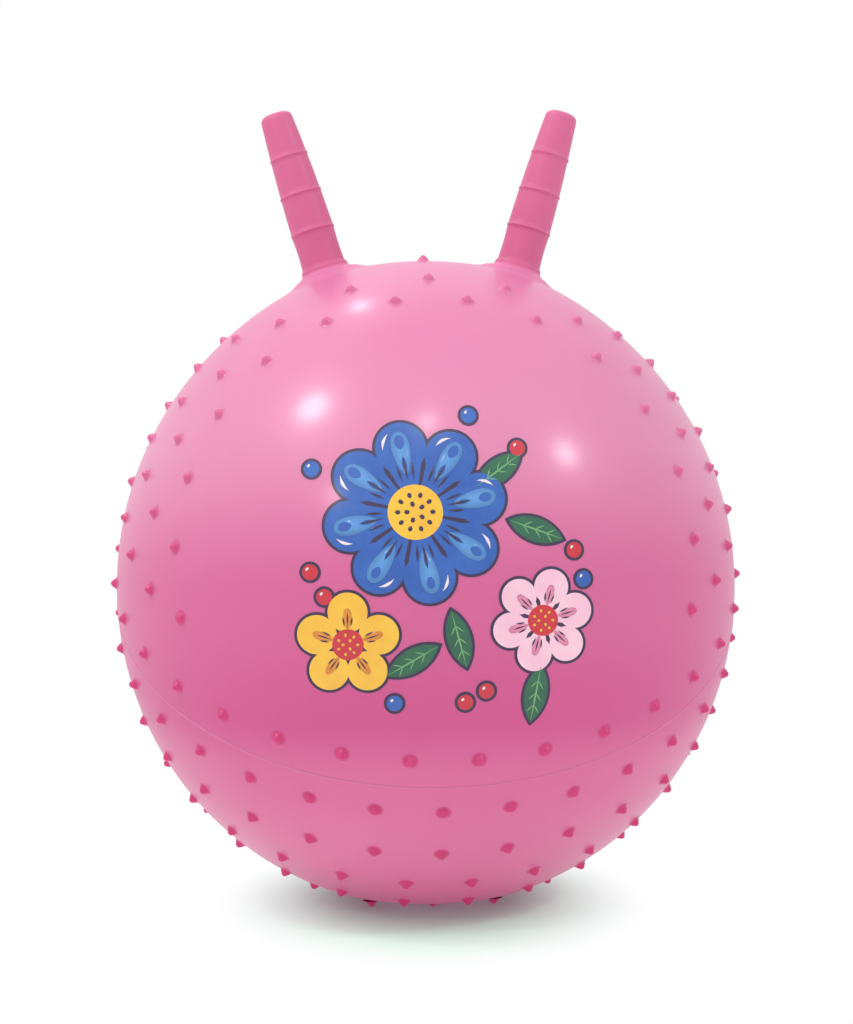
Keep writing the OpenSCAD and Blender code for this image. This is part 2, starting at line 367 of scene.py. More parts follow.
def add_noise(tree: bpy.types.NodeTree, place: bpy.types.NodeSocket, scale: float,
              detail: float, roughness: float = 0.5) -> bpy.types.NodeSocket:
    """Adds a Noise Texture.

    Args:
        tree: The tree that takes the node.
        place: The socket that gives the place.
        scale: The noise's scale.
        detail: How many finer layers it has.
        roughness: How strong the finer layers are.

    Returns:
        The noise's value.
    """
    node = tree.nodes.new("ShaderNodeTexNoise")
    node.inputs["Scale"].default_value = scale
    node.inputs["Detail"].default_value = detail
    node.inputs["Roughness"].default_value = roughness
    tree.links.new(place, node.inputs["Vector"])
    return node.outputs[0]


@dataclass(frozen=True)
class VinylMarks:
    """The marks in blown-up vinyl: cloudy thickness, ripples, grain and smears."""

    cloud_scale: float = 7.0
    cloud_detail: float = 3.0
    cloud_roughness: float = 0.55
    ripple_scale: float = 26.0
    ripple_height: float = 0.22 * MM
    grain_scale: float = 900.0
    grain_height: float = 0.0035 * MM
    fine_detail: float = 2.0
    smear_scale: float = 40.0
    smear_detail: float = 4.0
    smear_roughness: float = 0.6
    smear_middle: float = 0.5

    def build(self) -> bpy.types.NodeTree:
        """Builds the marks as a node group.

        Returns:
            The group, which gives a cloud mask, a height in metres and a roughness.
        """
        group = new_group("blown_vinyl", {"Roughness": 0.4, "Spread": 0.05},
                          {"Cloud": NUMBER, "Height": NUMBER, "Roughness": NUMBER})
        start, end = group.nodes["in"], group.nodes["out"]
        place = start.outputs["Place"]
        cloud = add_noise(group, place, self.cloud_scale, self.cloud_detail,
                          self.cloud_roughness)
        ripple = add_noise(group, place, self.ripple_scale, self.fine_detail)
        grain = add_noise(group, place, self.grain_scale, self.fine_detail)
        height = add_math(group, "ADD",
                          add_math(group, "MULTIPLY", ripple, self.ripple_height),
                          add_math(group, "MULTIPLY", grain, self.grain_height))
        smear = add_noise(group, place, self.smear_scale, self.smear_detail,
                          self.smear_roughness)
        wander = add_math(group, "MULTIPLY",
                          add_math(group, "SUBTRACT", smear, self.smear_middle),
                          start.outputs["Spread"])
        group.links.new(cloud, end.inputs["Cloud"])
        group.links.new(height, end.inputs["Height"])
        group.links.new(add_math(group, "ADD", start.outputs["Roughness"], wander),
                        end.inputs["Roughness"])
        return group


@dataclass(frozen=True)
class InkMarks:
    """The marks in printed ink: an uneven film with a faint screen grain."""

    patch_scale: float = 55.0
    patch_detail: float = 3.0
    patch_roughness: float = 0.6
    patch_share: float = 0.7
    screen_scale: float = 1800.0
    screen_detail: float = 1.0
    screen_share: float = 0.3
    screen_height: float = 0.01 * MM

    def build(self) -> bpy.types.NodeTree:
        """Builds the marks as a node group.

        Returns:
            The group, which gives a mask of thin places and a height in metres.
        """
        group = new_group("printed_ink", {}, {"Thin": NUMBER, "Height": NUMBER})
        place, end = group.nodes["in"].outputs["Place"], group.nodes["out"]
        patches = add_noise(group, place, self.patch_scale, self.patch_detail,
                            self.patch_roughness)
        screen = add_noise(group, place, self.screen_scale, self.screen_detail)
        thin = add_math(group, "ADD",
                        add_math(group, "MULTIPLY", patches, self.patch_share),
                        add_math(group, "MULTIPLY", screen, self.screen_share))
        group.links.new(thin, end.inputs["Thin"])
        group.links.new(add_math(group, "MULTIPLY", screen, self.screen_height),
                        end.inputs["Height"])
        return group


def build_ball_normal_group(shape: BallShape) -> bpy.types.NodeTree:
    """Builds the group that gives the ball's own smooth normal at a place on it.

    Args:
        shape: The ball's shape.

    Returns:
        The group.
    """
    group = new_group("ball_normal", {}, {"Normal": VECTOR})
    offset = add_vector_math(group, "SUBTRACT", group.nodes["in"].outputs["Place"],
                             (0.0, 0.0, shape.middle))
    slope = add_vector_math(group, "MULTIPLY", offset.outputs[0],
                            (1.0, 1.0, (shape.half_width / shape.half_height) ** 2))
    normal = add_vector_math(group, "NORMALIZE", slope.outputs[0])
    group.links.new(normal.outputs[0], group.nodes["out"].inputs["Normal"])
    return group


@dataclass(frozen=True)
class Groups:
    """The node groups that the finishes share."""

    vinyl: bpy.types.NodeTree
    ball_normal: bpy.types.NodeTree
    ink: bpy.types.NodeTree

    @classmethod
    def build(cls, shape: BallShape) -> "Groups":
        """Builds the groups for a ball."""
        return cls(VinylMarks().build(), build_ball_normal_group(shape),
                   InkMarks().build())


# Finishes

# The skin's colour at each height above the floor, in metres: painted light and shade, with
# a lighter pink low down for painted floor bounce, a deeper belt for painted shade and a
# paler top for the painted sheen of the overhead light
SKIN_PAINTED_LIGHT_TONES: Tones = (
    (0.06, (216, 114, 159)), (0.112, (216, 108, 156)), (0.15, (208, 84, 143)),
    (0.225, (213, 101, 152)), (0.33, (226, 139, 178)), (0.44, (224, 125, 170)))


class MaterialMaker:
    """Adds nodes to one new material around its Principled shader.

    Attributes:
        mix_inputs: Where a Mix node for colours has its share and its two colours.
        mix_output: Where it gives the mixed colour.
    """

    mix_inputs: tuple[int, int, int] = (0, 6, 7)
    mix_output: int = 2

    def __init__(self, name: str) -> None:
        """Starts a material.

        Args:
            name: The material's name.
        """
        self.material = bpy.data.materials.new(name)
        self.material.use_nodes = True
        self.tree = self.material.node_tree
        self.shader = self.tree.nodes["Principled BSDF"]
        self.place = self.tree.nodes.new("ShaderNodeTexCoord").outputs["Object"]

    def link(self, value: bpy.types.NodeSocket, socket: str) -> None:
        """Links a value to one of the shader's sockets."""
        self.tree.links.new(value, self.shader.inputs[socket])

    def plain(self, **values: float | tuple[float, ...]) -> None:
        """Sets plain values on the shader's own sockets, spaces written as underlines."""
        for label, value in values.items():
            self.shader.inputs[label.replace("_", " ")].default_value = value

    def group(self, group: bpy.types.NodeTree, **values: float) -> bpy.types.Node:
        """Places a node group, fed with the place on the piece.

        Args:
            group: The group.
            **values: Values for its other inputs.

        Returns:
            The group's node.
        """
        node = self.tree.nodes.new("ShaderNodeGroup")
        node.node_tree = group
        self.tree.links.new(self.place, node.inputs["Place"])
        for label, value in values.items():
            node.inputs[label].default_value = value
        return node

    def attribute(self, name: str) -> bpy.types.NodeSocket:
        """Reads a value that the piece's mesh carries.

        Args:
            name: The attribute's name.

        Returns:
            The value.
        """
        node = self.tree.nodes.new("ShaderNodeAttribute")
        node.attribute_name = name
        return node.outputs["Fac"]

    def mix(self, share: object, first: object, second: object) -> bpy.types.NodeSocket:
        """Mixes two colours, each a socket or a plain colour.

        Args:
            share: How much of the second colour shows, a socket or a number.
            first: The first colour.
            second: The second colour.

        Returns:
            The mixed colour.
        """
        node = self.tree.nodes.new("ShaderNodeMix")
        node.data_type = "RGBA"
        for index, value in zip(self.mix_inputs, (share, first, second)):
            if isinstance(value, bpy.types.NodeSocket):
                self.tree.links.new(value, node.inputs[index])
            else:
                node.inputs[index].default_value = value
        return node.outputs[self.mix_output]

    def ramp(self, value: bpy.types.NodeSocket,
             levels: tuple[float, float]) -> bpy.types.NodeSocket:
        """Turns a value between two levels into a smooth share from 0 to 1."""
        return add_ramp(self.tree, value, levels)

    def by_height(self, tones: Tones, top: float = 0.5) -> bpy.types.NodeSocket:
        """Gives a colour that changes with the height above the floor.

        Args:
            tones: Pairs of a height in metres and its colour, from the floor up.
            top: The height at which the ramp ends.

        Returns:
            The colour.
        """
        split = self.tree.nodes.new("ShaderNodeSeparateXYZ")
        self.tree.links.new(self.place, split.inputs[0])
        node = self.tree.nodes.new("ShaderNodeValToRGB")
        node.color_ramp.interpolation = "EASE"
        stops = node.color_ramp.elements
        while len(stops) < len(tones):
            stops.new(1.0)
        for stop, (height, colour) in zip(stops, tones):
            stop.position = height / top
            stop.color = linear(*colour)
        share = add_math(self.tree, "DIVIDE", split.outputs["Z"], top)
        self.tree.links.new(share, node.inputs["Fac"])
        return node.outputs["Color"]

    def bump(self, height: bpy.types.NodeSocket, strength: float,
             normal: bpy.types.NodeSocket | None = None) -> None:
        """Gives the shader a Bump node.

        Args:
            height: The height, in metres.
            strength: The bump's strength.
            normal: The normal that it starts from, if not the mesh's own.
        """
        node = self.tree.nodes.new("ShaderNodeBump")
        node.inputs["Strength"].default_value = strength
        node.inputs["Distance"].default_value = 1.0
        self.tree.links.new(height, node.inputs["Height"])
        if normal is not None:
            self.tree.links.new(normal, node.inputs["Normal"])
        self.link(node.outputs[0], "Normal")


@dataclass(frozen=True)
class VinylFinish:
    """Glossy, slightly see-through vinyl, with a deeper colour where it is thicker, and,
    where tones are given, painted light and shade that change with height.
    """

    name: str
    colour: RGB
    deep_colour: RGB
    cloud_share: float = 0.5
    cloud_levels: tuple[float, float] = (0.3, 0.75)
    roughness: float = 0.45
    specular: float = 0.43
    specular_tint: tuple[float, float, float] = (0.9, 0.57, 0.64)
    coat: float = 0.27
    coat_roughness: float = 0.22
    coat_ior: float = 1.8
    subsurface: float = 0.18
    subsurface_reach: float = 6 * MM
    subsurface_shares: tuple[float, float, float] = (1.0, 0.35, 0.6)
    tones: Tones = ()
    tone_and_painted_light_attribute: str = ""
    tip_colour: RGB = (255, 255, 255)
    bump_strength: float = 1.0

    def build(self, groups: Groups) -> bpy.types.Material:
        """Builds the material.

        Args:
            groups: The shared node groups.

        Returns:
            The material.
        """
        maker = MaterialMaker(self.name)
        vinyl = maker.group(groups.vinyl, Roughness=self.roughness)
        cloud = maker.ramp(vinyl.outputs["Cloud"], self.cloud_levels)
        cloud = add_math(maker.tree, "MULTIPLY", cloud, self.cloud_share)
        base = maker.by_height(self.tones) if self.tones else linear(*self.colour)
        colour = maker.mix(cloud, base, linear(*self.deep_colour))
        # A mesh attribute mixes in the tip colour: deep bump tips that fade as painted
        # light higher up, and the horns' pale feet that carry the skin's painted sheen.
        if self.tone_and_painted_light_attribute:
            share = maker.attribute(self.tone_and_painted_light_attribute)
            colour = maker.mix(share, colour, linear(*self.tip_colour))
        maker.link(colour, "Base Color")
        maker.link(vinyl.outputs["Roughness"], "Roughness")
        maker.plain(Specular_IOR_Level=self.specular, Coat_Weight=self.coat,
                    Coat_Roughness=self.coat_roughness, Coat_IOR=self.coat_ior,
                    Subsurface_Weight=self.subsurface,
                    Subsurface_Scale=self.subsurface_reach,
                    Subsurface_Radius=self.subsurface_shares,
                    Specular_Tint=(*self.specular_tint, 1))
        maker.bump(vinyl.outputs["Height"], self.bump_strength)
        return maker.material


@dataclass(frozen=True)
class InkFinish:
    """One printed colour, laid over the vinyl as a thin glossy film."""

    name: str
    colour: RGB
    thin_colour: RGB
    thin_levels: tuple[float, float] = (0.35, 0.7)
    thin_roughness: float = 0.06
    roughness: float = 0.42
    coat: float = 0.3
    coat_roughness: float = 0.2
    bump_strength: float = 0.6

    def build(self, groups: Groups) -> bpy.types.Material:
        """Builds the material.

        Args:
            groups: The shared node groups.

        Returns:
            The material.
        """
        maker = MaterialMaker(self.name)
        ink = maker.group(groups.ink)
        thin = maker.ramp(ink.outputs["Thin"], self.thin_levels)
        maker.link(maker.mix(thin, linear(*self.colour), linear(*self.thin_colour)),
                   "Base Color")
        gloss = add_math(maker.tree, "ADD", self.roughness,
                         add_math(maker.tree, "MULTIPLY", thin, self.thin_roughness))
        maker.link(gloss, "Roughness")
        maker.plain(Coat_Weight=self.coat, Coat_Roughness=self.coat_roughness)
        normal = maker.group(groups.ball_normal).outputs["Normal"]
        maker.bump(ink.outputs["Height"], self.bump_strength, normal)
        return maker.material


@dataclass(frozen=True)
class PlugFinish:
    """Satin white plastic, a little yellowed in patches."""

    name: str = "white_plug"
    colour: RGB = (240, 238, 230)
    aged_colour: RGB = (228, 220, 200)
    cloud_levels: tuple[float, float] = (0.3, 0.8)
    roughness: float = 0.38
    subsurface: float = 0.1
    subsurface_reach: float = 2 * MM
    bump_strength: float = 0.5

    def build(self, groups: Groups) -> bpy.types.Material:
        """Builds the material.

        Args:
            groups: The shared node groups.

        Returns:
            The material.
        """
        maker = MaterialMaker(self.name)
        vinyl = maker.group(groups.vinyl, Roughness=self.roughness)
        cloud = maker.ramp(vinyl.outputs["Cloud"], self.cloud_levels)
        maker.link(maker.mix(cloud, linear(*self.colour), linear(*self.aged_colour)),
                   "Base Color")
        maker.link(vinyl.outputs["Roughness"], "Roughness")
        maker.plain(Subsurface_Weight=self.subsurface,
                    Subsurface_Scale=self.subsurface_reach)
        maker.bump(vinyl.outputs["Height"], self.bump_strength)
        return maker.material


# Meshes


def finish_piece(bm: bmesh.types.BMesh, name: str, material: bpy.types.Material,
                 slot: str, body: Body, *replaced: str) -> bpy.types.Object:
    """Makes a finished bmesh an object that rides on its body.

    Args:
        bm: The bmesh, which is freed.
        name: The object's name.
        material: Its material.
        slot: The record's material slot, which is not used.
        body: The body that it rides on.
        *replaced: The CAD nodes that it stands for.

    Returns:
        The object.
    """
    mesh = bpy.data.meshes.new(name)
    for face in bm.faces:
        face.smooth = True
    bm.to_mesh(mesh)
    bm.free()
    mesh.materials.append(material)
    piece = bpy.data.objects.new(name, mesh)
    bpy.context.scene.collection.objects.link(piece)
    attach(piece, body.value)
    if replaced:
        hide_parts(*replaced)
    LOG.info("%s: %d faces", name, len(mesh.polygons))
    return piece


def spin_outline(bm: bmesh.types.BMesh, outline: Iterable[tuple[float, float]],
                 steps: int) -> None:
    """Turns an outline once round the Z axis.

    Args:
        bm: The bmesh that takes the shape.
        outline: The outline's points, each a radius and a height.
        steps: The steps of the turn.
    """
    line = [bm.verts.new((radius, 0.0, height)) for radius, height in outline]
    edges = [bm.edges.new(pair) for pair in zip(line, line[1:])]
    bmesh.ops.spin(bm, geom=line + edges, axis=UP, cent=(0, 0, 0), angle=math.tau,
                   steps=steps, use_merge=True)
    bmesh.ops.remove_doubles(bm, verts=bm.verts, dist=0.01 * MM)
    bmesh.ops.recalc_face_normals(bm, faces=bm.faces)


def quarter(steps: int) -> list[float]:
    """Gives the angles of a quarter turn, from its first step to its end.

    Args:
        steps: The number of steps.

    Returns:
        The angles, in radians.
    """
    return [math.pi / 2 * step / steps for step in range(1, steps + 1)]


def merge(bm: bmesh.types.BMesh, one: bmesh.types.BMesh) -> None:
    """Adds one shape to the others of its piece and frees it.

    Args:
        bm: The piece's bmesh.
        one: The shape's bmesh.
    """
    mesh = bpy.data.meshes.new("one_shape")
    one.to_mesh(mesh)
    one.free()
    bm.from_mesh(mesh)
    bpy.data.meshes.remove(mesh)


def placed(point: Vector, normal: Vector) -> Matrix:
    """Gives the matrix that moves a shape to a point and turns its +Z to a normal."""
    return Matrix.Translation(point) @ UP.rotation_difference(normal).to_matrix().to_4x4()


@dataclass
class Skin:
    """The ball's air-tight skin, one closed bag with a soft-edged flat underneath."""

    shape: BallShape
    finish: bpy.types.Material
    subdivisions: int = 7
    edge_reach: float = 16 * MM
    edge_drop: float = 0.9 * MM

    def build(self) -> None:
        """Builds the skin."""
        bm = bmesh.new()
        bmesh.ops.create_icosphere(bm, subdivisions=self.subdivisions, radius=1.0)
        for vert in bm.verts:
            vert.co = self.moved(vert.co.normalized())
        bmesh.ops.recalc_face_normals(bm, faces=bm.faces)
        finish_piece(bm, "ball_skin", self.finish, "skin", Body.BALL, "upper_skin",
                     "lower_skin")

    def moved(self, way: Vector) -> Vector:
        """Gives the skin's point in a direction, with a soft edge to its flat.

        Args:
            way: The direction, of length 1.

        Returns:
            The point, in the part's frame.
        """
        point = self.shape.skin_point(way)
        reach = math.hypot(point.x, point.y)
        near = 1 - abs(reach - self.shape.flat_radius) / self.edge_reach
        if near > 0 and way.z < 0:
            point += self.edge_drop * eased(near) * UP
        return point


@dataclass
class PartingLine:
    """The fine raised line that the mould's joint leaves round the ball."""

    shape: BallShape
    finish: bpy.types.Material
    width: float = 1.4 * MM
    height: float = 0.3 * MM
    root: float = 0.4 * MM
    root_radius: float = 0.5
    steps: int = 360
    profile_steps: int = 6

    def build(self) -> None:
        """Builds the line as one closed ring, round on its outside."""
        bm = bmesh.new()
        outline = [(self.root_radius, 0.5)]
        for step in range(self.profile_steps + 1):
            angle = math.pi * step / self.profile_steps
            outline.append((1 + math.sin(angle), 0.5 * math.cos(angle)))
        outline += [(self.root_radius, -0.5), (self.root_radius, 0.5)]
        spin_outline(bm, outline, self.steps)
        turn = UP.rotation_difference(self.shape.mould_axis)
        for vert in bm.verts:
            radius = math.hypot(vert.co.x, vert.co.y)
            across = vert.co.z * self.width
            flat = Vector((vert.co.x, vert.co.y, 0.0)) / radius
            point = self.shape.skin_point(turn @ flat)
            is_root = radius < (1 + self.root_radius) / 2
            rise = -self.root if is_root else self.height * (radius - 1)
            vert.co = (point + rise * self.shape.skin_normal(point)
                       + across * self.shape.mould_axis)
        finish_piece(bm, "mould_parting_line", self.finish, "skin_line", Body.BALL,
                     "parting_line")


@dataclass
class Bumps:
    """The raised bumps: rows that follow the parting line, and rings round the print."""

    shape: BallShape
    finish: bpy.types.Material
    around: int = 32
    height: float = 4.4 * MM
    foot_radius: float = 6.6 * MM
    tip_radius: float = 2.5 * MM
    neck_share: float = 1.35
    dark_radius: float = 4.1 * MM
    fade_radius: float = 6.4 * MM
    # The bumps' deep tips fade between these heights, as painted light falling on the top
    # of the ball.
    painted_light_level: float = 430 * MM
    painted_light_span: float = 260 * MM
    painted_light_share: float = 0.72
    valve_area_radius: float = 20.6 * MM
    horn_area_radius: float = 69.5 * MM
    rings: int = 10
    ring_bumps: int = 23
    ring_axis_rise: float = math.radians(8.5)
    first_ring_angle: float = math.radians(50.5)
    facets: int = 16
    foot_steps: int = 4
    tip_steps: int = 4
    sink: float = 0.12 * MM
    upper_start_share: float = 0.5
    lower_start_shares: tuple[float, ...] = (0, 0, 0.5, 0.5, 0, 0.5, 0, 0.5)

    def build(self) -> None:
        """Builds the bumps of both halves."""
        for half in Half:
            bm = bmesh.new()
            ways = list(self.ways(half))
            for way in ways:
                self.add_bump(bm, way)
            node = f"{half.name.lower()}_bumps"
            LOG.info("%s: %d bumps", node, len(ways))
            finish_piece(bm, f"{node}_moulded", self.finish, "bumps", Body.BALL, node)

    def ways(self, half: Half) -> Iterable[Vector]:
        """Gives the direction of each bump of a half.

        Args:
            half: Which half.

        Yields:
            The directions.
        """
        if half is Half.UPPER:
            yield from self.row_ways(0, half, self.upper_start_share)
            yield from filter(self.is_free_above, self.ring_ways())
            return
        for row, share in enumerate(self.lower_start_shares):
            yield from filter(self.is_free_below, self.row_ways(row, half, share))

    def row_ways(self, row: int, half: Half, start_share: float) -> Iterable[Vector]:
        """Gives the directions of a row that follows the parting line.

        Args:
            row: The row, from the parting line out.
            half: Which half it is on.
            start_share: The first bump's place, as a share of the gap between two.

        Yields:
            The directions.
        """
        latitude = (row + 0.5) * self.shape.row_step
        count = math.floor(self.around * math.cos(latitude) + 0.5)
        for index in range(count):
            longitude = (index + start_share) * math.tau / count
            yield self.shape.mould_way(half.value * latitude, longitude)

    def ring_ways(self) -> Iterable[Vector]:
        """Gives the directions of the rings round the print, which end at the back row.

        Yields:
            The directions, ring by ring.
        """
        rise = self.ring_axis_rise
        axis = Vector((0, -math.cos(rise), math.sin(rise)))
        top = Vector((0, math.sin(rise), math.cos(rise)))
        back_row = math.pi - self.shape.mould_lean - self.shape.row_step / 2 - rise
        step = (back_row - self.first_ring_angle) / self.rings
        for ring in range(self.rings):
            angle = self.first_ring_angle + ring * step
            for index in range(self.ring_bumps):
                turn = (index + (0 if ring % 2 else 0.5)) * math.tau / self.ring_bumps
                around = math.sin(turn) * SIDE + math.cos(turn) * top
                yield math.sin(angle) * around + math.cos(angle) * axis

    def is_free_above(self, way: Vector) -> bool:
        """Tells whether a place on a ring is clear of the horns and the first row.

        Args:
            way: The place's direction.

        Returns:
            Whether it is clear.
        """
        room = self.shape.arc_angle(self.horn_area_radius)
        return (way.dot(self.shape.mould_axis) > math.sin(self.shape.row_step)
                and all(way.angle(self.shape.horn_way(hand)) > room for hand in Hand))

    def is_free_below(self, way: Vector) -> bool:
        """Tells whether a place in a row is clear of the valve."""
        room = self.shape.arc_angle(self.valve_area_radius)
        return way.angle(self.shape.valve_way) > room

    def outline(self) -> list[tuple[float, float]]:
        """Gives a bump's outline, from its spread foot to its rounded tip.

        Returns:
            The outline's points, each a radius and a height.
        """
        tip_centre = self.height - self.tip_radius
        neck = self.tip_radius * self.neck_share
        foot = [(self.foot_radius + (neck - self.foot_radius) * math.sin(angle),
                 tip_centre * (1 - math.cos(angle)) - self.sink)
                for angle in [0.0] + quarter(self.foot_steps)]
        tip = [(self.tip_radius * math.cos(angle),
                tip_centre + self.tip_radius * math.sin(angle))
               for angle in quarter(self.tip_steps)]
        return foot + tip

    def add_bump(self, bm: bmesh.types.BMesh, way: Vector) -> None:
        """Adds one bump, bent to the skin under it and pressed flat by the floor.

        Args:
            bm: The bmesh of the half's bumps.
            way: The bump's direction.
        """
        one = bmesh.new()
        rise = one.verts.layers.float.new("rise")
        spin_outline(one, self.outline(), self.facets)
        point = self.shape.skin_point(way)
        flat = point.z <= self.shape.flat
        # Higher bumps get less of the deep tip colour, as painted light where light falls
        # on the top of the ball.
        lit = eased((point.z - self.painted_light_level + self.painted_light_span) / self.painted_light_span)
        for vert in one.verts:
            reach = vert.co.xy.length
            dark = eased((self.fade_radius - reach) / (self.fade_radius - self.dark_radius))
            vert[rise] = dark * (1 - self.painted_light_share * lit)
            if not flat:
                vert.co.z -= vert.co.xy.length_squared / (2 * self.shape.half_width)
        bmesh.ops.transform(one, matrix=placed(point, self.shape.skin_normal(point)),
                            verts=one.verts)
        for vert in one.verts:
            vert.co.z = max(vert.co.z, 0.0)
        merge(bm, one)


@dataclass
class Horn:
    """One horn grip, with its ribs, foot ring and flared foot."""

    shape: BallShape
    finish: bpy.types.Material
    hand: Hand
    length: float = 118 * MM
    foot_radius: float = 16.2 * MM
    tip_radius: float = 11.8 * MM
    end_rounding: float = 4.5 * MM
    end_dish: float = 0.5 * MM
    waist_depth: float = 0.6 * MM
    waist_share: float = 0.24
    ring_height: float = 11.6 * MM
    ribs: int = 3
    rib_height: float = 0.6 * MM
    rib_reach: float = 1.0 * MM
    rib_fullness: float = 0.8
    rib_half_steps: tuple[float, ...] = (0.0, 0.32, 0.62, 0.85, 0.97, 1.0)
    plain_steps: int = 7
    ring_rise: float = 1.1 * MM
    ring_reach: float = 1.6 * MM
    end_steps: int = 6
    dish_share: float = 0.6
    flare_radius: float = 38 * MM
    flare_steps: int = 22
    flare_fade: float = 0.35
    flare_sink: float = 0.1 * MM
    blend_radius: float = 24 * MM
    root: float = 2 * MM
    segments: int = 72

    @property
    def way(self) -> Vector:
        """The direction of the horn's axis."""
        return self.shape.horn_way(self.hand)

    @property
    def start(self) -> float:
        """The distance of the foot ring from the ball's middle."""
        return self.shape.plain_point(self.way).length + self.ring_height

    @property
    def side(self) -> float:
        """The length of the horn's side, up to its rounded end."""
        return self.length - self.end_rounding

    def side_radius(self, height: float) -> float:
        """Gives the horn's radius at a height above its foot ring, ribs included.

        Args:
            height: The height above the foot ring.

        Returns:
            The radius.
        """
        share = height / self.side
        radius = self.foot_radius - (self.foot_radius - self.tip_radius) * share ** 2
        if 0 < share < self.waist_share:
            radius -= self.waist_depth * math.sin(math.pi * share / self.waist_share)
        for rib in range(self.ribs + 1):
            rise, reach = ((self.rib_height, self.rib_reach) if rib
                           else (self.ring_rise, self.ring_reach))
            distance = abs(height - self.side * rib / (self.ribs + 1))
            if distance < reach:
                radius += rise * math.cos(
                    math.pi / 2 * distance / reach) ** self.rib_fullness
        return radius

    def side_heights(self) -> list[float]:
        """Gives the heights of the side's points, close together at each rib.

        Returns:
            The heights above the foot ring, from the ring up.
        """
        pitch = self.side / (self.ribs + 1)
        rising = [-step for step in self.rib_half_steps[:0:-1]]
        heights = []
        for rib in range(self.ribs + 1):
            reach = self.rib_reach if rib else self.ring_reach
            steps = [*(rising if rib else []), *self.rib_half_steps]
            heights += [rib * pitch + step * reach for step in steps]
            heights += [(rib + step / self.plain_steps) * pitch
                        for step in range(1, self.plain_steps)]
        return sorted(heights) + [self.side]

    def outline(self) -> list[tuple[float, float]]:
        """Gives the outline from under the flare, round its edge, to the horn's end.

        Returns:
            The outline's points, each a radius and a height above the foot ring.
        """
        points = [(0.0, -self.ring_height - self.root)]
        width = self.flare_radius - self.side_radius(0)
        for step in range(self.flare_steps):
            angle = math.pi / 2 * (1 - step / self.flare_steps)
            points.append((self.side_radius(0) + width * (1 - math.cos(angle)),
                           -self.ring_height * math.sin(angle)))
        points += [(self.side_radius(height), height) for height in self.side_heights()]
        flat = self.tip_radius - self.end_rounding
        points += [(flat + self.end_rounding * math.cos(angle),
                    self.side + self.end_rounding * math.sin(angle))
                   for angle in quarter(self.end_steps)]
        points.append((flat * self.dish_share,
                       self.length - self.end_dish * self.dish_share))
        points.append((0.0, self.length - self.end_dish))
        return points

    def build(self) -> None:
        """Builds the horn and bends its flared foot on to the skin."""
        bm = bmesh.new()
        flare = bm.verts.layers.float.new("flare")
        spin_outline(bm, self.outline(), self.segments)
        turn = UP.rotation_difference(self.way)
        middle = self.shape.middle * UP
        for vert in bm.verts:
            radius, height = vert.co.xy.length, vert.co.z
            place = turn @ Vector((vert.co.x, vert.co.y, self.start + height))
            vert.co = middle + place
            if height < 0:
                vert[flare] = eased(-height / (self.flare_fade * self.ring_height))
                share = eased((radius - self.foot_radius)
                              / (self.blend_radius - self.foot_radius))
                vert.co = vert.co.lerp(self.bent(place, radius, height), share)
        side = self.hand.name.lower()
        finish_piece(bm, f"{side}_horn_grip", self.finish, "horns", Body.BALL,
                     f"{side}_horn")

    def bent(self, place: Vector, radius: float, height: float) -> Vector:
        """Gives where a point of the flare comes to lie when it follows the skin.

        Args:
            place: The point on the straight horn, from the ball's middle.
            radius: Its distance from the horn's axis.
            height: Its height above the foot ring, which is below 0.

        Returns:
            The point, in the part's frame.
        """
        base = self.start - self.ring_height
        across = place - place.dot(self.way) * self.way
        under = self.shape.skin_point(
            across + self.way * math.sqrt(max(base ** 2 - radius ** 2, 0.0)))
        return under + (height + self.ring_height - self.flare_sink) * self.way


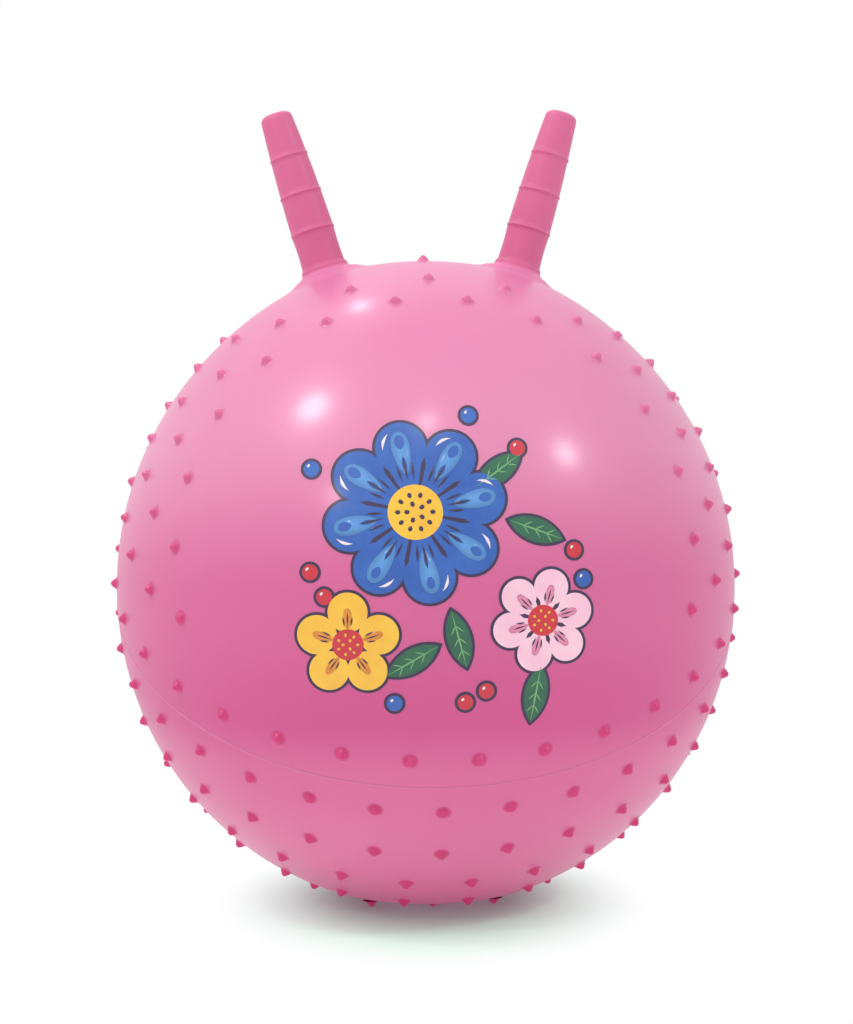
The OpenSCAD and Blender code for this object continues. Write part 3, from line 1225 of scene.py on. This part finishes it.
@dataclass
class Valve:
    """The valve at the back: a soft seat bonded in the skin, and its push-in plug."""

    shape: BallShape
    seat_finish: bpy.types.Material
    plug_finish: bpy.types.Material
    rim_radius: float = 10 * MM
    head_radius: float = 7 * MM
    head_thickness: float = 2.2 * MM
    stem_radius: float = 3.95 * MM
    stem_length: float = 13 * MM
    clearance: float = 0.05 * MM
    seat_depth: float = 13 * MM
    body_radius: float = 8 * MM
    lip: float = 0.7 * MM
    head_edge: float = 0.55 * MM
    edge_steps: int = 4
    segments: int = 64
    crisp_width: float = 0.12 * MM
    crisp_steps: int = 2
    crisp_angle: float = math.radians(38)

    @property
    def point(self) -> Vector:
        """The valve's place on the skin."""
        return self.shape.skin_point(self.shape.valve_way)

    def build(self) -> None:
        """Builds the seat and the plug."""
        self.build_seat()
        self.build_plug()

    def build_seat(self) -> None:
        """Builds the seat, with a rounded rim round the plug's head."""
        bore = self.head_radius + self.clearance
        stem_bore = self.stem_radius + self.clearance
        room = self.head_thickness + 3 * self.clearance
        rim = [(bore, -0.25 * MM), (bore + 0.3 * MM, 0.15 * MM),
               (bore + 0.9 * MM, self.lip * 0.6), (bore + 1.6 * MM, self.lip * 0.45),
               (self.rim_radius + 0.4 * MM, 0.02 * MM),
               (self.rim_radius + 1.2 * MM, -0.5 * MM)]
        outline = [(stem_bore, -self.seat_depth), (stem_bore, -room), (bore, -room)]
        outline += rim + [(self.body_radius, -4 * MM), (self.body_radius, -self.seat_depth),
                          (stem_bore, -self.seat_depth)]
        self.finish_turned(outline, "valve_seat_ring", self.seat_finish, "valve_seat",
                           Body.BALL, "valve_seat")

    def build_plug(self) -> None:
        """Builds the plug, with a rounded head, a thumb dish and a moulded ring."""
        floor = -self.head_thickness - 2 * self.clearance
        top = floor + self.head_thickness
        tip = floor - self.stem_length
        edge, stem = self.head_edge, self.stem_radius
        outline = [(0.0, top - 0.45 * MM), (1.6 * MM, top - 0.4 * MM),
                   (2.6 * MM, top - 0.12 * MM), (3.2 * MM, top - 0.02 * MM),
                   (4.6 * MM, top - 0.02 * MM), (4.9 * MM, top - 0.16 * MM),
                   (5.2 * MM, top - 0.02 * MM), (self.head_radius - edge, top)]
        outline += [(self.head_radius - edge + edge * math.sin(angle),
                     top - edge + edge * math.cos(angle))
                    for angle in quarter(self.edge_steps)]
        outline += [(self.head_radius, floor), (stem, floor), (stem, tip + 2.6 * MM),
                    (stem * 0.95, tip + 1.9 * MM), (stem * 0.7, tip + 0.25 * MM),
                    (stem * 0.6, tip), (0.0, tip)]
        self.finish_turned(outline, "valve_plug_stopper", self.plug_finish, "valve_plug",
                           Body.PLUG, "valve_plug")

    def finish_turned(self, outline: list[tuple[float, float]], name: str,
                      finish: bpy.types.Material, slot: str, body: Body, node: str) -> None:
        """Turns an outline about the valve's axis and finishes it as a piece.

        Args:
            outline: The outline's points, each a radius and a height above the skin.
            name: The piece's name.
            finish: Its material.
            slot: Its material slot.
            body: The body that it rides on.
            node: The CAD node that it stands for.
        """
        bm = bmesh.new()
        spin_outline(bm, outline, self.segments)
        bmesh.ops.transform(bm, verts=bm.verts,
                            matrix=placed(self.point, self.shape.skin_normal(self.point)))
        piece = finish_piece(bm, name, finish, slot, body, node)
        crisp = piece.modifiers.new("edges", "BEVEL")
        crisp.width = self.crisp_width
        crisp.segments = self.crisp_steps
        crisp.limit_method = "ANGLE"
        crisp.angle_limit = self.crisp_angle


@dataclass(frozen=True)
class Flower:
    """One printed flower, as the frame's films draw it, and its finer strokes.

    Its place is given in shares of the large flower's reach, and the sizes of its tones
    in shares of its own reach.
    """

    shares: tuple[float, float]
    petals: int
    reach: float
    tones_name: str
    tones_slot: str
    tone: InkFinish
    tone_place: float
    tone_size: tuple[float, float]
    seeds_name: str
    seeds_slot: str
    seeds: int
    first_petal: float = 0.25

    def turns(self) -> list[float]:
        """Gives the angle of each petal."""
        return [math.tau * (petal + self.first_petal) / self.petals
                for petal in range(self.petals)]


LARGE_REACH = 58 * MM
SMALL_REACH = 33 * MM
BLUE_FLOWER = Flower(
    (-0.3, 0.66), 8, LARGE_REACH, "blue_petal_tones", "ink_blue",
    InkFinish("light_blue_ink", (84, 146, 214), (98, 158, 220)), 0.66, (0.24, 0.13),
    "large_heart_seeds", "ink_dark", 10)
PINK_FLOWER = Flower(
    (1.08, -0.54), 6, SMALL_REACH, "pink_petal_tones", "ink_pink",
    InkFinish("rose_ink", (240, 150, 182), (236, 140, 176)), 0.5, (0.2, 0.1),
    "pink_flower_seeds", "ink_yellow", 7)
YELLOW_FLOWER = Flower(
    (-1.05, -0.77), 5, SMALL_REACH, "yellow_petal_tones", "ink_yellow",
    InkFinish("orange_ink", (238, 150, 48), (232, 140, 46)), 0.5, (0.2, 0.1),
    "yellow_flower_seeds", "ink_yellow", 7)


@dataclass
class Print:
    """The printed flowers: the frame's colour films, with finer strokes laid on them."""

    shape: BallShape
    groups: Groups
    rise: float = 16 * MM
    ink: float = 0.25 * MM
    ink_root: float = 0.7
    leaf_length: float = 44 * MM
    dot_radius: float = 5 * MM
    stroke_lift: float = 0.32 * MM
    top_lift: float = 0.35 * MM
    stroke_point: float = 0.06
    disc_segments: int = 28
    disc_rings: int = 2
    disc_ring_width: float = 0.3
    tone_taper: float = 0.5
    vein_start: float = 0.36
    vein_swings: tuple[float, ...] = (0.0, 0.17, -0.17)
    vein_lengths: tuple[float, ...] = (0.26, 0.18, 0.18)
    vein_width: float = 0.022
    vein_least: float = 0.3 * MM
    seed_rings: tuple[float, float] = (0.19, 0.09)
    seed_size: float = 0.026
    seed_least: float = 0.2 * MM
    seed_narrow: float = 0.8
    midrib_share: float = 0.4
    midrib_width: float = 1.1 * MM
    side_vein_places: tuple[float, ...] = (-0.5, -0.05, 0.4)
    side_vein_reach: tuple[float, float] = (0.3, 0.24)
    side_vein_width: float = 0.8 * MM
    side_vein_steps: int = 6
    glint_turns: tuple[float, float] = (0.12, 0.26)
    glint_reaches: tuple[float, float] = (0.9, 0.76)
    glint_bow: float = -1.2 * MM
    glint_width: float = 1.9 * MM
    dot_glint_place: tuple[float, float] = (-0.35, 0.4)
    dot_glint_size: tuple[float, float] = (0.24, 0.16)
    dot_glint_turn: float = 0.9
    flowers: tuple[Flower, ...] = (BLUE_FLOWER, PINK_FLOWER, YELLOW_FLOWER)
    leaf_shares: tuple[tuple[float, float], ...] = (
        (0.62, 1.1), (1.02, 0.45), (0.15, -0.72), (-0.35, -0.95), (1.0, -1.35))
    leaf_turns: tuple[float, ...] = (35, -20, -75, -150, -100)
    dot_shares: tuple[tuple[float, float], ...] = (
        (-1.3, -0.25), (-1.45, 0.02), (1.45, 0.22), (0.45, -1.3), (0.22, -1.42),
        (0.85, 1.35), (-1.42, 1.15), (1.55, -0.1), (-0.55, -1.42), (0.32, 1.72))
    films: dict[str, InkFinish] = field(default_factory=lambda: {
        "print_outlines": InkFinish("dark_ink", (44, 30, 66), (56, 38, 78)),
        "print_blue": InkFinish("blue_ink", (38, 88, 172), (50, 102, 186)),
        "print_pink": InkFinish("pale_pink_ink", (250, 205, 220), (246, 190, 212)),
        "print_yellow": InkFinish("yellow_ink", (248, 196, 60), (240, 180, 58)),
        "print_red": InkFinish("red_ink", (208, 40, 56), (196, 46, 66)),
        "print_green": InkFinish("green_ink", (30, 92, 66), (40, 106, 74))})
    leaf_vein: InkFinish = InkFinish("leaf_vein_ink", (122, 184, 120), (110, 172, 112))
    glint: InkFinish = InkFinish("glint_ink", (252, 238, 244), (248, 226, 236))

    def build(self) -> None:
        """Dresses the films and builds the strokes on them."""
        inks = {node: self.dress_film(node) for node in self.films}
        self.build_petal_tones()
        self.build_petal_veins(inks["print_outlines"])
        self.build_heart_seeds({"ink_dark": inks["print_outlines"],
                                "ink_yellow": inks["print_yellow"]})
        self.build_leaf_veins()
        self.build_glints()

    def dress_film(self, node: str) -> bpy.types.Material:
        """Gives one of the frame's films its ink.

        Args:
            node: The film's CAD node.

        Returns:
            The ink's material.
        """
        material = self.films[node].build(self.groups)
        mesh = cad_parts[node].data
        mesh.materials.clear()
        mesh.materials.append(material)
        LOG.info("%s: %s", node, material.name)
        return material

    def place(self, shares: tuple[float, float]) -> Vector:
        """Gives a flat place on the print from its shares of the large flower's reach."""
        return Vector((*shares, 0)) * LARGE_REACH

    def add_disc(self, bm: bmesh.types.BMesh, centre: Vector, size: tuple[float, float],
                 turn: float, taper: float = 0.0) -> None:
        """Adds a flat oval, wide at its far end if it is tapered.

        Args:
            bm: The bmesh of flat strokes.
            centre: The oval's middle.
            size: Its half length and half width.
            turn: The angle of its length.
            taper: How much narrower its near end is, as a share.
        """
        one = bmesh.new()
        bmesh.ops.create_circle(one, segments=self.disc_segments, radius=1.0,
                                cap_ends=True)
        inner = list(one.faces)
        for _ in range(self.disc_rings):
            bmesh.ops.inset_region(one, faces=inner, thickness=self.disc_ring_width,
                                   use_even_offset=False)
        bmesh.ops.poke(one, faces=[face for face in one.faces if len(face.verts) > 4])
        spin = Matrix.Rotation(turn, 4, "Z")
        for vert in one.verts:
            narrow = 1 - taper * (1 - vert.co.x) / 2
            flat = Vector((vert.co.x * size[0], vert.co.y * size[1] * narrow, 0))
            vert.co = centre + spin @ flat
        merge(bm, one)

    def add_stroke(self, bm: bmesh.types.BMesh, start: Vector, end: Vector,
                   width: float, bow: float = 0.0, steps: int = 10) -> None:
        """Adds a stroke, pointed at both ends.

        Args:
            bm: The bmesh of flat strokes.
            start: The stroke's start.
            end: Its end.
            width: Its width in the middle.
            bow: How far its middle is off the straight line.
            steps: Its steps.
        """
        one = bmesh.new()
        bmesh.ops.create_grid(one, x_segments=steps, y_segments=2, size=0.5)
        along = end - start
        across = Vector((-along.y, along.x, 0)).normalized()
        for vert in one.verts:
            share = vert.co.x + 0.5
            full = math.sin(math.pi * min(max(share, self.stroke_point),
                                          1 - self.stroke_point))
            centre = start + share * along + across * bow * 4 * share * (1 - share)
            vert.co = centre + across * width * vert.co.y * full
        merge(bm, one)

    def lay(self, bm: bmesh.types.BMesh, name: str, material: bpy.types.Material,
            slot: str, lift: float) -> None:
        """Lays flat strokes on the front of the ball as one thin piece.

        Args:
            bm: The bmesh of flat strokes.
            name: The piece's name.
            material: Its material.
            slot: Its material slot.
            lift: How far its face stands above the skin.
        """
        for vert in bm.verts:
            vert.co = self.shape.front_point(vert.co.x, vert.co.y + self.rise, lift)
        for face in bm.faces:
            face.normal_update()
            if face.normal.dot(FRONT) < 0:
                face.normal_flip()
        piece = finish_piece(bm, name, material, slot, Body.BALL)
        film = piece.modifiers.new("film", "SOLIDIFY")
        film.thickness = lift - self.ink_root * self.ink
        film.offset = -1.0

    def build_petal_tones(self) -> None:
        """Builds a lighter or deeper tone inside each petal."""
        for flower in self.flowers:
            bm = bmesh.new()
            size = [share * flower.reach for share in flower.tone_size]
            for turn in flower.turns():
                out = heading(turn) * flower.reach * flower.tone_place
                self.add_disc(bm, self.place(flower.shares) + out, size, turn,
                              self.tone_taper)
            self.lay(bm, flower.tones_name, flower.tone.build(self.groups),
                     flower.tones_slot, self.stroke_lift)

    def build_petal_veins(self, material: bpy.types.Material) -> None:
        """Builds the short dark strokes at the foot of each petal.

        Args:
            material: The dark ink.
        """
        bm = bmesh.new()
        for flower in self.flowers:
            width = self.vein_width * flower.reach + self.vein_least
            for turn in flower.turns():
                for swing, length in zip(self.vein_swings, self.vein_lengths):
                    way = heading(turn + swing) * flower.reach
                    start = self.place(flower.shares) + way * self.vein_start
                    self.add_stroke(bm, start, start + way * length, width)
        self.lay(bm, "petal_veins", material, "ink_dark", self.top_lift)

    def build_heart_seeds(self, inks: dict[str, bpy.types.Material]) -> None:
        """Builds the rings of seeds on the flowers' hearts.

        Args:
            inks: The ink of each material slot that seeds are printed in.
        """
        for flower in self.flowers:
            bm = bmesh.new()
            seed = flower.reach * self.seed_size + self.seed_least
            for ring, radius in enumerate(self.seed_rings):
                count = flower.seeds // (ring + 1)
                for index in range(count):
                    turn = math.tau * (index + 0.5 * ring) / count
                    out = heading(turn) * flower.reach * radius
                    self.add_disc(bm, self.place(flower.shares) + out,
                                  (seed, seed * self.seed_narrow), turn)
            self.lay(bm, flower.seeds_name, inks[flower.seeds_slot], flower.seeds_slot,
                     self.top_lift)

    def build_leaf_veins(self) -> None:
        """Builds each leaf's midrib and side veins."""
        bm = bmesh.new()
        half = self.leaf_length * self.midrib_share
        ahead, aside = self.side_vein_reach
        for shares, degrees in zip(self.leaf_shares, self.leaf_turns):
            spin = Matrix.Rotation(math.radians(degrees), 4, "Z")
            centre = self.place(shares)
            tip = spin @ Vector((half, 0, 0))
            self.add_stroke(bm, centre - tip, centre + tip, self.midrib_width)
            for place in self.side_vein_places:
                for side in (1, -1):
                    root = spin @ Vector((half * place, 0, 0))
                    far = spin @ Vector((half * (place + ahead), side * half * aside, 0))
                    self.add_stroke(bm, centre + root, centre + far, self.side_vein_width,
                                    steps=self.side_vein_steps)
        self.lay(bm, "leaf_veins", self.leaf_vein.build(self.groups), "ink_green",
                 self.stroke_lift)

    def build_glints(self) -> None:
        """Builds the pale glints on the large flower's petals and on the dots."""
        bm = bmesh.new()
        flower = self.flowers[0]
        for turn in flower.turns():
            ends = [self.place(flower.shares) + heading(turn + swing) * flower.reach * reach
                    for swing, reach in zip(self.glint_turns, self.glint_reaches)]
            self.add_stroke(bm, *ends, self.glint_width, self.glint_bow)
        corner = Vector((*self.dot_glint_place, 0)) * self.dot_radius
        size = [share * self.dot_radius for share in self.dot_glint_size]
        for shares in self.dot_shares:
            self.add_disc(bm, self.place(shares) + corner, size, self.dot_glint_turn)
        self.lay(bm, "pale_glints", self.glint.build(self.groups), "ink_pink",
                 self.stroke_lift)


# Studio


@dataclass(frozen=True)
class Lamp:
    """One soft lamp, named by where it stands from the ball."""

    name: str
    way: tuple[float, float, float]
    distance: float
    size: float
    power: float

    def build(self, aim: Vector) -> None:
        """Builds the lamp.

        Args:
            aim: The point that it faces.
        """
        light = bpy.data.lights.new(self.name, "AREA")
        light.shape = "DISK"
        light.size = self.size
        light.energy = self.power
        lamp = bpy.data.objects.new(self.name, light)
        bpy.context.scene.collection.objects.link(lamp)
        way = Vector(self.way).normalized()
        lamp.location = aim + way * self.distance
        lamp.rotation_euler = way.to_track_quat("Z", "Y").to_euler()
        LOG.info("lamp %s", self.name)


@dataclass
class Studio:
    """The pale floor, the soft lamps, the white world and the camera."""

    shape: BallShape
    floor_size: float = 30.0
    floor_bounce: float = 0.85
    floor_bounce_glow: float = 0.35
    # Near the ball the floor's seen colour is tinted to take the ball's pink bounce out of
    # its shade, and lifted by a faint glow: painted light.
    floor_near: tuple[float, float, float] = (0.50, 1.0, 0.74)
    floor_reach: tuple[float, float] = (0.075, 0.245)
    floor_stretch: tuple[float, float, float] = (1.5, 1.0, 0.0)
    floor_glow: float = 0.06
    world_level: float = 0.52
    lamps: tuple[Lamp, ...] = (
        Lamp("key_upper_left", (-0.54, -0.23, 0.81), 2.38, 0.37, 13.6),
        Lamp("spark_left", (-0.53, -0.70, 0.49), 2.41, 0.10, 3.0),
        Lamp("spark_top", (-0.01, -0.57, 0.82), 2.40, 0.10, 4.2),
        Lamp("fill_right", (0.68, -0.41, 0.61), 2.39, 0.24, 7.6),
        Lamp("spark_behind", (-0.19, 0.42, 0.89), 2.32, 0.12, 2.5),
        Lamp("overhead", (-0.12, 0.1, 1.0), 2.4, 5.2, 20))
    photo_width: int = 853
    photo_height: int = 1024
    focal_pixels: float = 2035.0
    sensor: float = 36.0
    distance: float = 1.5
    elevation: float = math.radians(2.3)
    azimuth: float = math.radians(-3)
    roll: float = math.radians(0.8)
    sight: float = 100.0
    ball_pixel_x: float = 425.8
    ball_pixel_y: float = 584.3

    def build(self) -> None:
        """Builds the whole studio."""
        self.build_floor()
        self.build_world()
        for lamp in self.lamps:
            lamp.build(self.shape.middle * UP)
        self.build_camera()
        bpy.context.scene.view_settings.view_transform = "Standard"

    def seen_rays(self, tree: bpy.types.NodeTree) -> bpy.types.NodeSocket:
        """Gives 1 for the rays that see or mirror the background, and 0 for the others.

        Args:
            tree: The tree that takes the nodes.

        Returns:
            The share.
        """
        path = tree.nodes.new("ShaderNodeLightPath").outputs
        mirrored = add_math(tree, "MAXIMUM", path["Is Glossy Ray"],
                            path["Is Transmission Ray"])
        return add_math(tree, "MAXIMUM", path["Is Camera Ray"], mirrored)

    def build_floor(self) -> None:
        """Builds the pale floor, which shows the ball's shade near it and is painted white
        farther out.
        """
        bm = bmesh.new()
        bmesh.ops.create_grid(bm, x_segments=1, y_segments=1, size=self.floor_size / 2)
        mesh = bpy.data.meshes.new("floor")
        bm.to_mesh(mesh)
        bm.free()
        floor = bpy.data.objects.new("floor", mesh)
        bpy.context.scene.collection.objects.link(floor)
        material = bpy.data.materials.new("pale_floor")
        material.use_nodes = True
        tree = material.node_tree
        tree.nodes.remove(tree.nodes["Principled BSDF"])
        bounce = self.add_matt(tree, [self.floor_bounce] * 3, self.floor_bounce_glow)
        near = self.add_matt(tree, self.floor_near, self.floor_glow)
        white = tree.nodes.new("ShaderNodeEmission").outputs[0]
        seen = self.add_mix(tree, self.floor_share(tree), near, white)
        tree.links.new(self.add_mix(tree, self.seen_rays(tree), bounce, seen),
                       tree.nodes["Material Output"].inputs["Surface"])
        mesh.materials.append(material)
        floor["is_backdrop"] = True

    def add_matt(self, tree: bpy.types.NodeTree, colour: Iterable[float],
                 glow_level: float) -> bpy.types.NodeSocket:
        """Adds a matt shader with a faint glow.

        Args:
            tree: The tree that takes the nodes.
            colour: The shader's colour.
            glow_level: The glow's strength.

        Returns:
            The shader.
        """
        matt = tree.nodes.new("ShaderNodeBsdfDiffuse")
        matt.inputs[0].default_value = (*colour, 1)
        glow = tree.nodes.new("ShaderNodeEmission")
        glow.inputs["Strength"].default_value = glow_level
        both = tree.nodes.new("ShaderNodeAddShader")
        tree.links.new(matt.outputs[0], both.inputs[0])
        tree.links.new(glow.outputs[0], both.inputs[1])
        return both.outputs[0]

    def add_mix(self, tree: bpy.types.NodeTree, share: bpy.types.NodeSocket,
                first: bpy.types.NodeSocket,
                second: bpy.types.NodeSocket) -> bpy.types.NodeSocket:
        """Mixes two shaders.

        Args:
            tree: The tree that takes the node.
            share: How much of the second shader shows.
            first: The first shader.
            second: The second shader.

        Returns:
            The mixed shader.
        """
        mix = tree.nodes.new("ShaderNodeMixShader")
        for socket, value in zip(mix.inputs, (share, first, second)):
            tree.links.new(value, socket)
        return mix.outputs[0]

    def floor_share(self, tree: bpy.types.NodeTree) -> bpy.types.NodeSocket:
        """Gives a share from 0 near the ball to 1 farther out, stretched across, past which
        the floor is painted white over the ball's shade.

        Args:
            tree: The tree that takes the nodes.

        Returns:
            The share.
        """
        place = tree.nodes.new("ShaderNodeTexCoord").outputs["Object"]
        flat = add_vector_math(tree, "MULTIPLY", place, self.floor_stretch)
        length = add_vector_math(tree, "LENGTH", flat.outputs[0])
        return add_ramp(tree, length.outputs["Value"], self.floor_reach)

    def build_world(self) -> None:
        """Builds the world: white to the camera, and a soft light elsewhere."""
        world = bpy.data.worlds.new("studio_air")
        world.use_nodes = True
        tree = world.node_tree
        tree.nodes.clear()
        shaders = []
        for level in (self.world_level, 1.0):
            background = tree.nodes.new("ShaderNodeBackground")
            background.inputs["Color"].default_value = (1, 1, 1, 1)
            background.inputs["Strength"].default_value = level
            shaders.append(background.outputs[0])
        out = tree.nodes.new("ShaderNodeOutputWorld")
        tree.links.new(self.add_mix(tree, self.seen_rays(tree), *shaders), out.inputs[0])
        bpy.context.scene.world = world

    def build_camera(self) -> None:
        """Builds the camera, pitched so that the ball's middle falls on its pixel."""
        aim = self.shape.middle * UP
        way = Vector((math.cos(self.elevation) * math.sin(self.azimuth),
                      -math.cos(self.elevation) * math.cos(self.azimuth),
                      math.sin(self.elevation)))
        data = bpy.data.cameras.new("camera")
        data.sensor_width = self.sensor
        data.lens = self.focal_pixels / self.photo_height * self.sensor
        data.clip_end = self.sight
        camera = bpy.data.objects.new("camera", data)
        bpy.context.scene.collection.objects.link(camera)
        place = aim + way * self.distance
        below = math.atan((self.ball_pixel_y - self.photo_height / 2) / self.focal_pixels)
        right = math.atan((self.ball_pixel_x - self.photo_width / 2) / self.focal_pixels)
        turn = Euler((math.pi / 2 - self.elevation + below, 0, self.azimuth + right))
        tilt = Matrix.Rotation(self.roll, 4, -way)
        camera.matrix_world = Matrix.Translation(place) @ tilt @ turn.to_matrix().to_4x4()
        bpy.context.scene.camera = camera


def main() -> None:
    """Builds the hopper ball's pieces in order, and the studio round them."""
    logging.basicConfig(level=logging.INFO, format="%(message)s")
    shape = BallShape.from_frame()
    groups = Groups.build(shape)
    # The skin and the bumps take the painted light and shade by height.
    skin = VinylFinish("pink_vinyl", (218, 100, 156), (206, 78, 136), cloud_share=0.12,
                       tones=SKIN_PAINTED_LIGHT_TONES)
    line = VinylFinish("parting_vinyl", (222, 116, 164), (214, 102, 152))
    bumps = VinylFinish("bump_vinyl", (218, 100, 156), (206, 78, 136), cloud_share=0.12,
                        tones=SKIN_PAINTED_LIGHT_TONES, tone_and_painted_light_attribute="rise",
                        tip_colour=(208, 54, 120))
    # The horns' flared feet fade to the skin's paler top colour, which carries its painted
    # sheen.
    horns = VinylFinish("horn_vinyl", (216, 108, 151), (208, 96, 141), roughness=0.55,
                        coat=0.1, coat_roughness=0.35, tone_and_painted_light_attribute="flare",
                        tip_colour=(224, 126, 171))
    seat = VinylFinish("seat_vinyl", (212, 92, 146), (198, 76, 132), coat=0.3)
    Skin(shape, skin.build(groups)).build()
    PartingLine(shape, line.build(groups)).build()
    Bumps(shape, bumps.build(groups)).build()
    horn_material = horns.build(groups)
    for hand in Hand:
        Horn(shape, horn_material, hand).build()
    Valve(shape, seat.build(groups), PlugFinish().build(groups)).build()
    Print(shape, groups).build()
    Studio(shape).build()
    boxes = [[list(map(float, corner)) for corner in box]
             for box in (CAD_BOX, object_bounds())]


if __name__ == "__main__":
    main()
